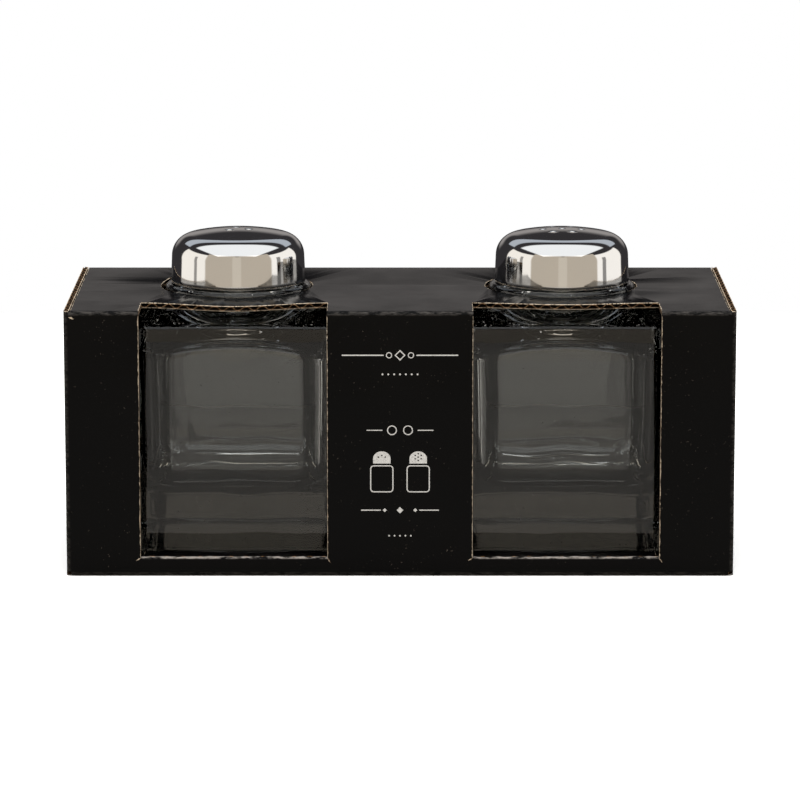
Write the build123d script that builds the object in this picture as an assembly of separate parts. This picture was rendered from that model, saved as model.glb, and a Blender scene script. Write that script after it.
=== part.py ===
"""Two square glass salt and pepper shakers with screw caps, in a corrugated display carton.

Frame: millimetres, +Z up, the front faces -Y. The origin is at the centre of the carton's base.
Each shaker is a heavy-based pressed glass jar with a threaded neck. Its cap is a smooth domed shell
over a threaded plastic insert, with a sealing ring on the jar's rim. The carton is one folded blank:
front, bottom, end panels and rear flap stay put, the top panel folds up about the front top fold,
and the back panel folds out about the rear top fold.
"""

from build123d import *
import os
from math import atan2, cos, radians, sin, sqrt, tan

# ---- Carton -------------------------------------------------------------------------------
carton_width = 184.0
carton_depth = 78.0
carton_height = 74.0
board = 1.5  # thickness of the corrugated board
fold_clearance = 0.1  # between a fold's round edge and the panel that turns about it
side_clearance = 0.3  # from the turning panels to the end panels
rear_clearance = 0.3  # from the rear flap to the back panel that closes over it

window_width = 51.5
window_sill = 5.5  # height of the window's lower edge
window_reach = 14.8  # how far the window runs onto the top panel, from the front face
hole_radius = 21.4  # round hole in the top panel for a shaker's collar
rear_flap_height = 33.5
rear_flap_inset = 3.0  # from the end panels to the rear flap
rear_fold_rounding = 1.35  # outer rounding of the fold between bottom and rear flap
tab_height = 22.0
tab_length = 64.0
tab_corner = 7.3  # size of the cut-off corners
flap_landing = -31.0  # where the folded window flap reaches the bottom panel
flap_lean = 0.3  # how far the flap's lower side lands ahead of its upper side
flap_hinge = 1.65  # height of the flap's folded edge under the sill
flap_end = 34.0
flap_clearance = 0.1  # from the flap's cut edges to the line of the window's

# ---- Shakers ------------------------------------------------------------------------------
shaker_spacing = 91.5
shaker_y = 6.2
jar_width = 58.5
jar_corner = 3.0
jar_edge = 2.2  # rounding of the lower edge
shoulder_low = 67.1  # height of the straight edge at the top of each face
shoulder_top = 70.5  # height at which the shoulder meets the collar
shoulder_edge = 2.2  # rounding between the faces and the shoulder
shoulder_overlap = 0.3  # how far the shoulder runs on up inside the collar
shoulder_sections = 10
shoulder_spacing = 1.5  # power that crowds the sections towards the rounded edge
jar_floor = 20.5  # height of the cavity's floor
cavity_floor_width = 52.6
cavity_roof_width = 53.4
cavity_corner = 9.0
cavity_edge = 7.5
roof_radius = 77.0  # the cavity's roof is part of a sphere
roof_height = 62.5  # where that sphere meets the line of the cavity's walls
roof_edge = 4.5

collar_radius = 20.7
collar_top = 75.0
collar_rounding = 1.6
neck_radius = 15.9
bore_radius = 13.2
rim_height = 84.5
rim_rounding = 0.8

# ---- Caps (heights from the cap's lower rim) ----------------------------------------------
cap_rim = 75.3
cap_radius = 19.0
cap_height = 14.9
cap_shoulder = 6.2
cap_straight = 7.4
cap_taper = 0.3  # how far the side draws in on its way up to cap_straight
shell = 0.4
shell_rounding = 0.18  # of the shell's lower rim
salt_hole_radius = 0.8
salt_ring_radius = 3.2
salt_ring_turn = -17.0
pepper_hole_radius = 0.65
pepper_ring_radius = 5.4

insert_radius = 18.15
insert_bore = 17.2
insert_foot = 0.5
insert_gap = 0.1  # from the insert to the shell that is crimped over it
flange_under = 10.2
flange_top = 11.3
flange_bore = 12.9
seal_outer = 16.8
seal_inner = 13.0
seal_gap = 0.05

# ---- Thread -------------------------------------------------------------------------------
thread_pitch = 4.0
thread_turns = 1.25
thread_depth = 1.0
thread_base = 1.9
thread_crest = 0.7
thread_root = 0.3  # how far a thread's section reaches into the wall that carries it
jar_thread_start = 2.0
cap_thread_start = 1.5

past = 1.0  # how far a cutting solid runs past what it cuts

# ---- Worked out ---------------------------------------------------------------------------
half_width = carton_width / 2
half_depth = carton_depth / 2
half_board = board / 2
jar_base = 2 * board  # the jar stands on the window flap, which lies on the bottom panel
panel_half_width = half_width - board - side_clearance
fold_height = carton_height - half_board
front_fold_y = -half_depth + half_board
rear_fold_y = half_depth - half_board
rear_inner = half_depth - board - rear_clearance
shaker_x = shaker_spacing / 2
roof_centre = roof_height - sqrt(roof_radius**2 - (cavity_roof_width / 2) ** 2)
shoulder_x = cap_radius - cap_taper - cap_shoulder  # centre of the cap's shoulder arc


def block(x0, x1, y0, y1, z0, z1):
    """A box from its lowest corner to its highest corner."""
    size = Box(x1 - x0, y1 - y0, z1 - z0, align=(Align.MIN, Align.MIN, Align.MIN))
    return Pos(x0, y0, z0) * size


def rod(radius, low, high):
    """A round rod about Z between two heights."""
    return Pos(0, 0, low) * extrude(Circle(radius), amount=high - low)


def along_x(edges, x0, x1):
    """A prism along X from a closed outline of edges in the YZ plane."""
    face = make_face(edges)
    return Pos(x0, 0, 0) * extrude(face, amount=x1 - x0, dir=(1, 0, 0))


def yz(y, z):
    return Vector(0, y, z)


def turned(edges):
    """A solid of revolution about Z from a closed outline in the XZ plane."""
    return revolve(make_face(edges), axis=Axis.Z)


def closed(points):
    """The straight edges of a polygon."""
    return Polyline(*points, close=True)


# ---- Carton panels ------------------------------------------------------------------------
def front_panel():
    """The front, round at the top fold and at its three outer folds, with both windows cut out."""
    inner = -half_depth + board
    top_arc = ThreePointArc(
        yz(inner, fold_height), yz(front_fold_y, carton_height), yz(-half_depth, fold_height)
    )
    foot_mid = board * cos(radians(45))
    foot_arc = ThreePointArc(
        yz(-half_depth, board), yz(inner - foot_mid, board - foot_mid), yz(inner, 0)
    )
    outline = [
        Line(yz(inner, 0), yz(inner, fold_height)),
        top_arc,
        Line(yz(-half_depth, fold_height), yz(-half_depth, board)),
        foot_arc,
    ]
    panel = along_x(outline, -half_width, half_width)
    plan = RectangleRounded(carton_width, carton_depth, board)
    panel = panel & extrude(plan, amount=carton_height)
    for side in (-1, 1):
        x = side * shaker_x
        panel -= block(
            x - window_width / 2,
            x + window_width / 2,
            -half_depth - past,
            inner + past,
            window_sill,
            carton_height + past,
        )
    return panel


def bottom_panel():
    """The base between the end panels, round at its rear fold."""
    inner = half_width - board
    panel = block(-inner, inner, -half_depth + board, rear_inner, 0, board)
    edge = panel.edges().filter_by(Axis.X).group_by(Axis.Y)[-1].sort_by(Axis.Z)[0]
    return fillet(edge, rear_fold_rounding)


def end_panel(side):
    """One end, folded back from the front panel. Its cut edges show at the top and rear."""
    outer = side * half_width
    inner = side * (half_width - board)
    x0, x1 = sorted((outer, inner))
    return block(x0, x1, -half_depth + board, half_depth, 0, carton_height)


def end_tab(side):
    """The bottom panel's tab, glued up inside an end panel, with its corners cut off."""
    outer = side * (half_width - board)
    x = outer if side < 0 else outer - board
    half = tab_length / 2
    points = [
        yz(-half, board),
        yz(-half, tab_height - tab_corner),
        yz(-half + tab_corner, tab_height),
        yz(half - tab_corner, tab_height),
        yz(half, tab_height - tab_corner),
        yz(half, board),
    ]
    return along_x(closed(points), x, x + board)


def rear_flap():
    """The flap that stands up from the bottom panel, inside the back panel."""
    reach = half_width - board - rear_flap_inset
    return block(-reach, reach, rear_inner - board, rear_inner, board, rear_flap_height)


def window_flap(side):
    """The card from a window, folded in over the sill and laid flat under the jar."""
    inner = -half_depth + board
    points = [
        yz(inner, window_sill),
        yz(flap_landing, 2 * board),
        yz(flap_end, 2 * board),
        yz(flap_end, board),
        yz(flap_landing - flap_lean, board),
        yz(inner, window_sill - flap_hinge),
    ]
    half = window_width / 2 - flap_clearance
    return along_x(closed(points), side * shaker_x - half, side * shaker_x + half)


def top_panel():
    """The top, with a window notch and a collar hole for each shaker, round at the rear fold."""
    front = front_fold_y + half_board + fold_clearance
    under = carton_height - board
    rear_arc = ThreePointArc(
        yz(rear_fold_y, under), yz(half_depth, fold_height), yz(rear_fold_y, carton_height)
    )
    outline = [
        Line(yz(front, carton_height), yz(front, under)),
        Line(yz(front, under), yz(rear_fold_y, under)),
        rear_arc,
        Line(yz(rear_fold_y, carton_height), yz(front, carton_height)),
    ]
    panel = along_x(outline, -panel_half_width, panel_half_width)
    for side in (-1, 1):
        x = side * shaker_x
        panel -= block(
            x - window_width / 2,
            x + window_width / 2,
            -half_depth - past,
            -half_depth + window_reach,
            under - past,
            carton_height + past,
        )
        panel -= Pos(x, shaker_y, 0) * rod(hole_radius, under - past, carton_height + past)
    return panel


def back_panel():
    """The back, which hangs from the top panel's rear fold over the rear flap."""
    top = fold_height - half_board - fold_clearance
    inner = half_depth - board
    return block(-panel_half_width, panel_half_width, inner, half_depth, side_clearance, top)


# ---- Jar ----------------------------------------------------------------------------------
def rounded_square(width, corner, z):
    return Pos(0, 0, z) * RectangleRounded(width, width, corner)


def diagonal(width, corner):
    """From the centre of a rounded square to the middle of its corner."""
    return (width / 2 - corner) * sqrt(2) + corner


def slope(reach):
    """Angle of the shoulder above a wall that stands at reach from the axis."""
    return atan2(shoulder_top - shoulder_low, reach - collar_radius)


def wall_top(reach):
    """Where that wall gives way to the rounded edge."""
    return shoulder_low - shoulder_edge * tan((radians(90) - slope(reach)) / 2)


def shoulder_reach(reach, z):
    """How far the shoulder above that wall still is from the axis at height z."""
    rise = z - wall_top(reach)
    if rise < 0:
        return reach
    if rise < shoulder_edge * cos(slope(reach)):
        return reach - shoulder_edge + sqrt(shoulder_edge**2 - rise**2)
    return collar_radius + (shoulder_top - z) / tan(slope(reach))


def jar_body():
    """The outer glass below the collar: a square block whose shoulder turns round as it rises."""
    half = jar_width / 2
    corner = diagonal(jar_width, jar_corner)
    low = wall_top(corner)
    high = shoulder_top + shoulder_overlap
    body = extrude(rounded_square(jar_width, jar_corner, jar_base), amount=low - jar_base)
    body = fillet(body.edges().group_by(Axis.Z)[0], jar_edge)
    sections = []
    for i in range(shoulder_sections + 1):
        z = low + (high - low) * (i / shoulder_sections) ** shoulder_spacing
        flat = shoulder_reach(half, z)
        rounding = (flat * sqrt(2) - shoulder_reach(corner, z)) / (sqrt(2) - 1)
        sections.append(rounded_square(2 * flat, min(rounding, 0.995 * flat), z))
    return body + loft(sections)


def cavity():
    """The hollow: nearly upright walls, a domed roof, and a round bore through it."""
    floor = rounded_square(cavity_floor_width, cavity_corner, jar_floor)
    hollow = loft([floor, rounded_square(cavity_roof_width, cavity_corner, shoulder_top)])
    hollow = fillet(hollow.edges().group_by(Axis.Z)[0], cavity_edge)
    hollow = hollow & (Pos(0, 0, roof_centre) * Sphere(roof_radius))
    roof = hollow.faces().sort_by(Axis.Z)[-1]
    hollow = fillet(roof.edges(), roof_edge)
    bore = rod(bore_radius, shoulder_top / 2, rim_height + past)
    return hollow + bore


def thread(radius, outward, start):
    """A helical ridge on a wall of the given radius, standing outward or inward."""
    way = 1 if outward else -1
    height = thread_pitch * thread_turns
    path = Helix(thread_pitch, height, radius)
    base_r = radius - way * thread_root
    crest_r = radius + way * thread_depth
    spread = (thread_base - thread_crest) / thread_depth * thread_root
    section = closed(
        [
            Vector(base_r, 0, -(thread_base + spread) / 2),
            Vector(crest_r, 0, -thread_crest / 2),
            Vector(crest_r, 0, thread_crest / 2),
            Vector(base_r, 0, (thread_base + spread) / 2),
        ]
    )
    ridge = sweep(make_face(section), path=path, is_frenet=True)
    return Pos(0, 0, start) * ridge


def jar():
    """One pressed glass jar, standing on the flap, about the Z axis."""
    body = jar_body()
    collar = rod(collar_radius, shoulder_top / 2, collar_top)
    collar = fillet(collar.edges().group_by(Axis.Z)[-1], collar_rounding)
    neck = rod(neck_radius, shoulder_top / 2, rim_height)
    glass = body + collar + neck
    glass = glass - cavity()
    glass = fillet(glass.edges().group_by(Axis.Z)[-1], rim_rounding)
    return glass + thread(neck_radius, True, cap_rim + jar_thread_start)


# ---- Cap ----------------------------------------------------------------------------------
def dome_outline(offset):
    """The cap's outer line, drawn in by offset, as (straight top, shoulder arc, dome arc)."""
    centre = Vector(shoulder_x, 0, cap_straight)
    # The dome's radius makes it tangent to the shoulder arc and puts its top at cap_height.
    drop = cap_height - cap_straight
    crown = (centre.X**2 + drop**2 - cap_shoulder**2) / (2 * (drop - cap_shoulder))
    middle = Vector(0, 0, cap_height - crown)
    lean = (centre - middle).normalized()
    r = cap_shoulder - offset
    side = centre + Vector(r, 0, 0)
    join = centre + lean * r
    half_lean = Vector(1 + lean.X, 0, lean.Z).normalized()
    shoulder = ThreePointArc(side, centre + half_lean * r, join)
    angle = atan2(lean.X, lean.Z) / 2
    bow = middle + Vector(sin(angle), 0, cos(angle)) * (crown - offset)
    top = Vector(0, 0, cap_height - offset)
    return side, shoulder, ThreePointArc(join, bow, top), top


def perforations(salt):
    """Where the pouring holes are: three for salt, seven for pepper."""
    if salt:
        return [
            (salt_ring_radius, salt_ring_turn + 120 * i, salt_hole_radius) for i in range(3)
        ]
    ring = [(pepper_ring_radius, 60 * i, pepper_hole_radius) for i in range(6)]
    return [(0, 0, pepper_hole_radius)] + ring


def cap_shell(salt):
    """The smooth domed cover, pierced for pouring."""
    outer_side, outer_shoulder, outer_dome, outer_top = dome_outline(0)
    inner_side, inner_shoulder, inner_dome, inner_top = dome_outline(shell)
    outer_foot = Vector(cap_radius, 0, 0)
    inner_foot = Vector(cap_radius - shell, 0, 0)
    outline = [
        Line(outer_foot, outer_side),
        outer_shoulder,
        outer_dome,
        Line(outer_top, inner_top),
        inner_dome,
        inner_shoulder,
        Line(inner_side, inner_foot),
        Line(inner_foot, outer_foot),
    ]
    cover = turned(outline)
    foot = cover.edges().group_by(Axis.Z)[0]
    cover = fillet(foot, shell_rounding)
    for ring, turn, radius in perforations(salt):
        x = ring * cos(radians(turn))
        y = ring * sin(radians(turn))
        cover -= Pos(x, y, 0) * rod(radius, cap_height / 2, cap_height + past)
    return Pos(0, 0, cap_rim) * cover


def cap_insert():
    """The threaded ring inside the shell, with a flange that presses on the seal."""
    middle = Vector(shoulder_x, 0, cap_straight)
    reach = cap_shoulder - shell - insert_gap
    low_rise = sqrt(reach**2 - (insert_radius - middle.X) ** 2)
    high_rise = flange_top - cap_straight
    high_run = sqrt(reach**2 - high_rise**2)
    angle = (atan2(low_rise, insert_radius - middle.X) + atan2(high_rise, high_run)) / 2
    low = Vector(insert_radius, 0, cap_straight + low_rise)
    high = Vector(middle.X + high_run, 0, flange_top)
    outline = [
        Polyline(
            high,
            Vector(flange_bore, 0, flange_top),
            Vector(flange_bore, 0, flange_under),
            Vector(insert_bore, 0, flange_under),
            Vector(insert_bore, 0, insert_foot),
            Vector(insert_radius, 0, insert_foot),
            low,
        ),
        ThreePointArc(low, middle + Vector(cos(angle), 0, sin(angle)) * reach, high),
    ]
    ring = turned(outline)
    ridge = thread(insert_bore, False, cap_thread_start)
    # The cap's ridge lies half a pitch below the jar's ridge at the same angle.
    lead = jar_thread_start - thread_pitch / 2
    turn = (cap_thread_start - lead) / thread_pitch * 360
    ridge = Rot(0, 0, turn) * ridge
    return Pos(0, 0, cap_rim) * (ring + ridge)


def seal_ring():
    """The soft washer between the jar's rim and the insert's flange."""
    low = rim_height + seal_gap
    high = cap_rim + flange_under - seal_gap
    ring = Circle(seal_outer) - Circle(seal_inner)
    return Pos(0, 0, low) * extrude(ring, amount=high - low)


# ---- Write the sub-parts ------------------------------------------------------------------
def main():
    os.makedirs("parts", exist_ok=True)
    parts = {
        "front_panel": front_panel(),
        "bottom_panel": bottom_panel(),
        "rear_flap": rear_flap(),
        "top_panel": top_panel(),
        "back_panel": back_panel(),
    }
    for name, side in (("left", -1), ("right", 1)):
        place = Pos(side * shaker_x, shaker_y, 0)
        parts[f"{name}_end_panel"] = end_panel(side)
        parts[f"{name}_end_tab"] = end_tab(side)
        parts[f"{name}_window_flap"] = window_flap(side)
        parts[f"{name}_jar"] = place * jar()
        parts[f"{name}_cap_shell"] = place * cap_shell(salt=side < 0)
        parts[f"{name}_cap_insert"] = place * cap_insert()
        parts[f"{name}_seal_ring"] = place * seal_ring()
    for name, shape in parts.items():
        export_step(shape, f"parts/{name}.step")
        print(name, round(shape.volume, 1))


main()
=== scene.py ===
"""Two glass salt and pepper shakers in their display carton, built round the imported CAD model.

Sizes inside this script are millimetres, in the CAD frame: +Z up, the windowed front faces -Y, and the
origin is the centre of the carton's base. They become metres where a mesh is made.
"""

from math import atan2, cos, hypot, pi, radians, sin, sqrt, tan

import bpy
import numpy as np
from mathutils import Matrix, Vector, geometry, noise

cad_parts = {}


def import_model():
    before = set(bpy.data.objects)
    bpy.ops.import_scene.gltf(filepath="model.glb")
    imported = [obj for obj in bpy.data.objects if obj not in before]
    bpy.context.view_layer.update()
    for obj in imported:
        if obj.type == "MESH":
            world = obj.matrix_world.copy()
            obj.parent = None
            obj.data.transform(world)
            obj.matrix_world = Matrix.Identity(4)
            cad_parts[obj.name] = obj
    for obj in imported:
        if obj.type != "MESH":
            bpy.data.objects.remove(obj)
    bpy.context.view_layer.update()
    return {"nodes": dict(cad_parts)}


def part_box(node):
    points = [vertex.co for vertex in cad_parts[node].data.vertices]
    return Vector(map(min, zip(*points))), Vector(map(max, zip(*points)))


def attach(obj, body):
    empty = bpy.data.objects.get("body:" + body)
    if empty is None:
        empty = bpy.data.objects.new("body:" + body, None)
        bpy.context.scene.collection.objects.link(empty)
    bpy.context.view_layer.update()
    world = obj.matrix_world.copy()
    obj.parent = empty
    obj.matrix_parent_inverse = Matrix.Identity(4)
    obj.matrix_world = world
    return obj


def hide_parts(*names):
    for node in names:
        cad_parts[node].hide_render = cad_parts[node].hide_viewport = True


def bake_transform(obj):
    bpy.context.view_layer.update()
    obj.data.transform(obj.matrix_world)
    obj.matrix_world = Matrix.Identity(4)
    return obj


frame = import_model()

MM = 0.001


def cad_box(node):
    """The lowest and highest corner of a CAD node, in millimetres."""
    low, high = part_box(node)
    return low / MM, high / MM


# ---- Sizes read from the frame ----
FRONT = cad_box("front_panel")
BACK = cad_box("back_panel")
TOP = cad_box("top_panel")
BOTTOM = cad_box("bottom_panel")
REAR_FLAP = cad_box("rear_flap")
JARS = {side: cad_box(f"{side}_jar") for side in ("left", "right")}
SHELLS = {side: cad_box(f"{side}_cap_shell") for side in ("left", "right")}

BOARD = BOTTOM[1].z  # thickness of the corrugated board
HALF_WIDTH = FRONT[1].x
FRONT_Y = FRONT[0].y
REAR_Y = BACK[1].y
TOP_Z = FRONT[1].z
SHAKER_X = (JARS["right"][0].x + JARS["right"][1].x) / 2
SHAKER_Y = (JARS["right"][0].y + JARS["right"][1].y) / 2
SIDES = (("left", -1), ("right", 1))
X, Y, Z = (1, 0, 0), (0, 1, 0), (0, 0, 1)

# ---- Carton sizes that the frame does not hold ----
WINDOW_HALF = 51.5 / 2
WINDOW_SILL = 5.5
WINDOW_REACH = 14.8
HOLE_RADIUS = 21.4
TAB_CORNER = 7.3
HOLE_SHIFT = {"left": -0.4, "right": -0.25}  # the punched holes stand a little to the left
STRIP_SAG = {"left": 1.0, "right": 0.5}  # how low the strip in front of each hole hangs
EDGE_LIFT = 0.55  # how high the board stands up beside the left hole
EDGE_LIFT_REACH = 5.0
FLAP_SLOPE = 6.5  # how far in from the sill a window flap lands

# ---- The board's make-up ----
LINER = 0.17
MEDIUM = 0.13
FLUTE = 4.35  # pitch of the waves
FOLD_RADIUS = 1.3
# Where the bends of the folds begin.
FOLD_X = HALF_WIDTH - FOLD_RADIUS
FOLD_FRONT, FOLD_REAR = FRONT_Y + FOLD_RADIUS, REAR_Y - FOLD_RADIUS
FOLD_TOP = TOP_Z - FOLD_RADIUS
STEPS_PER_FLUTE = 12
TEAR = (0.03, 0.27)  # least and most that a liner's cut edge is torn back
COARSE_EDGE = 2.0  # spacing of points along the edges that don't show

# ---- Optical constants and tones of the studio ----
GLASS_IOR = 1.52
PRINT_SPECULAR = 0.1
FLOOR_SEEN = (1.3, 1.3, 1.3)
FLOOR_REFLECTED = (0.42, 0.4, 0.37)


# ==== Materials ====
class Nodes:
    """Short calls for adding nodes and links to a tree."""

    def __init__(self, tree):
        self.tree = tree

    def add(self, kind, inputs=None, **settings):
        node = self.tree.nodes.new(f"ShaderNode{kind}")
        for key, value in settings.items():
            setattr(node, key, value)
        for key, value in (inputs or {}).items():
            self.put(node.inputs[key], value)
        return node

    def put(self, socket, value):
        if isinstance(value, bpy.types.NodeSocket):
            self.tree.links.new(value, socket)
        else:
            socket.default_value = value

    def ramp(self, fac, stops):
        node = self.add("ValToRGB", {"Fac": fac})
        elements = node.color_ramp.elements
        while len(elements) < len(stops):
            elements.new(0.5)
        for element, (at, colour) in zip(elements, stops):
            element.position = at
            grey = isinstance(colour, (int, float))
            element.color = (colour, colour, colour, 1) if grey else (*colour, 1)
        return node.outputs["Color"]

    def axes(self, vector):
        return self.add("SeparateXYZ", {0: vector}).outputs

    def math(self, kind, a, b=0.0, clamp=False):
        return self.add("Math", {0: a, 1: b}, operation=kind, use_clamp=clamp).outputs[0]

    def times(self, a, b, clamp=False):
        return self.math("MULTIPLY", a, b, clamp)

    def inverse(self, value):
        return self.math("SUBTRACT", 1.0, value)

    def step(self, value, low, high):
        """0 below low and 1 above high, or the other way round when low is above high."""
        inputs = {"Value": value, "From Min": low, "From Max": high}
        return self.add("MapRange", inputs, interpolation_type="SMOOTHSTEP").outputs[0]

    def span(self, value, low, high, soft):
        """1 between low and high, with soft edges."""
        up = self.step(value, low - soft, low + soft)
        down = self.step(value, high + soft, high - soft)
        return self.times(up, down)

    def patch(self, x, xs, y, ys, soft_x, soft_y):
        """1 where x and y are both in their ranges, with soft edges."""
        return self.times(self.span(x, *xs, soft_x), self.span(y, *ys, soft_y))

    def mix(self, fac, a, b):
        node = self.add("Mix", {"Factor": fac}, data_type="RGBA")
        for socket, value in ((node.inputs[6], a), (node.inputs[7], b)):
            self.put(socket, value if isinstance(value, bpy.types.NodeSocket) else (*value, 1))
        return node.outputs[2]

    def plus(self, base, amount, colour):
        """base with the colour added, amount times."""
        node = self.add("Mix", {"Factor": amount}, data_type="RGBA", blend_type="ADD")
        self.put(node.inputs[6], base)
        self.put(node.inputs[7], (*colour, 1))
        return node.outputs[2]


class Shader(Nodes):
    """A material on a Principled BSDF."""

    def __init__(self, name):
        self.material = bpy.data.materials.new(name)
        self.material.use_nodes = True
        super().__init__(self.material.node_tree)
        self.surface = self.tree.nodes["Principled BSDF"]

    def set(self, **inputs):
        for key, value in inputs.items():
            self.put(self.surface.inputs[key.replace("_", " ")], value)

    def place(self):
        """Object coordinates, which are metres in the CAD frame on every piece."""
        return self.add("TexCoord").outputs["Object"]

    def noise(self, scale, detail=3.0, roughness=0.5, stretch=(1, 1, 1)):
        """Noise with scale features to the metre."""
        place = self.add("Mapping", {"Vector": self.place(), "Scale": stretch}).outputs[0]
        inputs = {"Vector": place, "Scale": scale, "Detail": detail, "Roughness": roughness}
        return self.add("TexNoise", inputs).outputs["Fac"]

    def attribute(self, name):
        return self.add("Attribute", attribute_name=name, attribute_type="GEOMETRY").outputs["Fac"]

    def bump(self, *layers):
        """Bump from (height, strength, distance in metres) layers, one on top of another."""
        normal = None
        for height, strength, distance in layers:
            inputs = {"Height": height, "Strength": strength, "Distance": distance}
            if normal is not None:
                inputs["Normal"] = normal
            normal = self.add("Bump", inputs).outputs["Normal"]
        self.set(Normal=normal)


def printed_board():
    """Black satin print on paper: faint flute ribs, grain, dust, and fibres rubbed bare at the creases,
    which on the sill also stand in as a painted highlight.
    """
    s = Shader("printed_board")
    wear = s.attribute("wear")
    grain = s.noise(2600, 4, 0.6)
    patches = s.noise(60, 3, 0.55)
    dust = s.ramp(s.noise(1500, 1, 0.4), [(0.74, 0.0), (0.79, 1.0)])
    dust_here = s.ramp(s.noise(90, 2, 0.5), [(0.45, 0.0), (0.7, 0.6)])
    specks = s.times(dust, dust_here)
    ink = s.mix(patches, (0.0012, 0.0012, 0.0014), (0.0024, 0.0022, 0.0023))
    ink = s.mix(specks, ink, (0.1, 0.085, 0.07))
    cracks = s.noise(900, 5, 0.65, stretch=(0.35, 1, 1))
    # Where wear is set, the print gives way to pale fibre: real cracking on most folds, and partly a
    # painted highlight on the sill.
    worn_and_highlit = s.times(s.ramp(cracks, [(0.42, 0.0), (0.6, 1.0)]), wear, clamp=True)
    fibre = s.mix(s.noise(1800, 3), (0.16, 0.13, 0.11), (0.52, 0.49, 0.46))
    colour = s.mix(worn_and_highlit, ink, fibre)
    rib = s.math("SINE", s.times(s.attribute("flute"), 2 * pi / FLUTE))
    rough = s.ramp(patches, [(0.3, 0.17), (0.7, 0.25)])
    rough = s.mix(worn_and_highlit, rough, (0.85, 0.85, 0.85))
    s.set(Base_Color=colour, Roughness=rough, Specular_IOR_Level=PRINT_SPECULAR)
    s.bump((rib, 0.1, 0.00003), (grain, 0.04, 0.00003), (worn_and_highlit, 0.6, 0.0001))
    return s.material


def kraft(name, dark, light):
    """Bare brown paper with long fibres and flecks."""
    s = Shader(name)
    fibres = s.noise(900, 6, 0.7, stretch=(1, 0.25, 0.25))
    flecks = s.ramp(s.noise(1900, 2), [(0.4, 0.0), (0.5, 1.0)])
    colour = s.mix(fibres, dark, light)
    colour = s.mix(flecks, tuple(0.3 * c for c in dark), colour)
    s.set(Base_Color=colour, Roughness=s.ramp(fibres, [(0.2, 0.95), (0.8, 0.8)]))
    s.bump((fibres, 0.5, 0.00005))
    return s.material


def clear_glass():
    """Pressed glass: a little green-grey, with slow waves, smears, and dust where it faces up."""
    s = Shader("clear_glass")
    waves = s.noise(70, 2, 0.4)
    smear = s.noise(35, 4, 0.6)
    up = s.step(s.axes(s.add("NewGeometry").outputs["Normal"])[2], 0.5, 0.8)
    shoulder = s.step(s.axes(s.place())[2], 0.064, 0.066)
    specks = s.ramp(s.noise(1300, 1, 0.4), [(0.73, 0.0), (0.76, 1.0)])
    dust = s.times(specks, s.times(up, shoulder))
    clear = s.mix(smear, (0.93, 0.95, 0.935), (0.965, 0.975, 0.965))
    s.set(
        Base_Color=s.mix(dust, clear, (0.75, 0.75, 0.72)),
        Roughness=s.math("MAXIMUM", dust, s.ramp(smear, [(0.35, 0.0), (0.75, 0.025)])),
        Transmission_Weight=s.inverse(s.times(dust, 0.9)),
        IOR=GLASS_IOR,
    )
    s.bump((waves, 0.08, 0.0006))
    return s.material


def chrome():
    """Mirror-bright plate with hairline polishing marks and faint finger smears."""
    s = Shader("chrome")
    hairs = s.noise(1400, 4, 0.7, stretch=(1, 1, 0.08))
    smear = s.noise(120, 4, 0.6)
    tint = s.mix(smear, (0.80, 0.80, 0.81), (0.86, 0.855, 0.85))
    rough = s.ramp(smear, [(0.3, 0.035), (0.75, 0.085)])
    s.set(Base_Color=tint, Roughness=rough, Metallic=1.0)
    s.bump((hairs, 0.04, 0.00002))
    return s.material


def moulded_plastic(name, low, high, rough, bump):
    """Moulded polymer with a fine matt grain and slow changes of tone."""
    s = Shader(name)
    tone = s.noise(140, 3)
    roughness = s.ramp(tone, [(0.3, rough), (0.7, rough + 0.12)])
    s.set(Base_Color=s.mix(tone, low, high), Roughness=roughness)
    s.set(Subsurface_Weight=0.08, Subsurface_Radius=(0.002, 0.002, 0.002))
    s.bump((s.noise(3200, 3, 0.6), bump, 0.00003))
    return s.material


def white_ink():
    """Screen-printed white, a little uneven where the board shows through."""
    s = Shader("white_ink")
    coverage = s.ramp(s.noise(2200, 3, 0.6), [(0.3, (0.5, 0.5, 0.5)), (0.5, (0.8, 0.8, 0.79))])
    s.set(Base_Color=coverage, Roughness=s.ramp(s.noise(500), [(0.3, 0.4), (0.7, 0.55)]))
    s.bump((s.noise(2200, 3, 0.6), 0.2, 0.00002))
    return s.material


def studio_floor():
    """Matt white paper, bright to the camera and greyer in reflections, as if flagged off."""
    s = Shader("studio_floor")
    tone = s.noise(3, 2)
    seen = s.mix(tone, FLOOR_SEEN, tuple(1.02 * c for c in FLOOR_SEEN))
    camera_ray = s.add("LightPath").outputs["Is Camera Ray"]
    colour = s.mix(camera_ray, FLOOR_REFLECTED, seen)
    s.set(Base_Color=colour, Roughness=0.9, Specular_IOR_Level=PRINT_SPECULAR)
    return s.material


PRINT = printed_board()
BROWN = kraft("kraft_medium", (0.22, 0.10, 0.04), (0.62, 0.38, 0.19))
FIBRE = kraft("torn_fibre", (0.36, 0.24, 0.14), (0.85, 0.76, 0.62))
# Painted shade: a darkened copy of the kraft for the faces inside the flutes, where shade falls.
SHADED_CORE = kraft("flute_core_painted_shade", (0.03, 0.016, 0.008), (0.09, 0.05, 0.026))
# Painted shade: a darkened copy of the cut-edge kraft, for the rear flap's edges deep inside the
# carton.
SHADED_EDGE = kraft("edge_painted_shade", (0.03, 0.025, 0.02), (0.13, 0.11, 0.09))
GLASS = clear_glass()
CHROME = chrome()
PLASTIC = moulded_plastic("insert_plastic", (0.72, 0.72, 0.70), (0.80, 0.80, 0.78), 0.42, 0.2)
SILICONE = moulded_plastic("seal_silicone", (0.62, 0.62, 0.58), (0.72, 0.72, 0.68), 0.5, 0.12)
INK = white_ink()


# ==== Mesh helpers ====
def add_to_scene(name, data):
    made = bpy.data.objects.new(name, data)
    bpy.context.scene.collection.objects.link(made)
    return made


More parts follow.
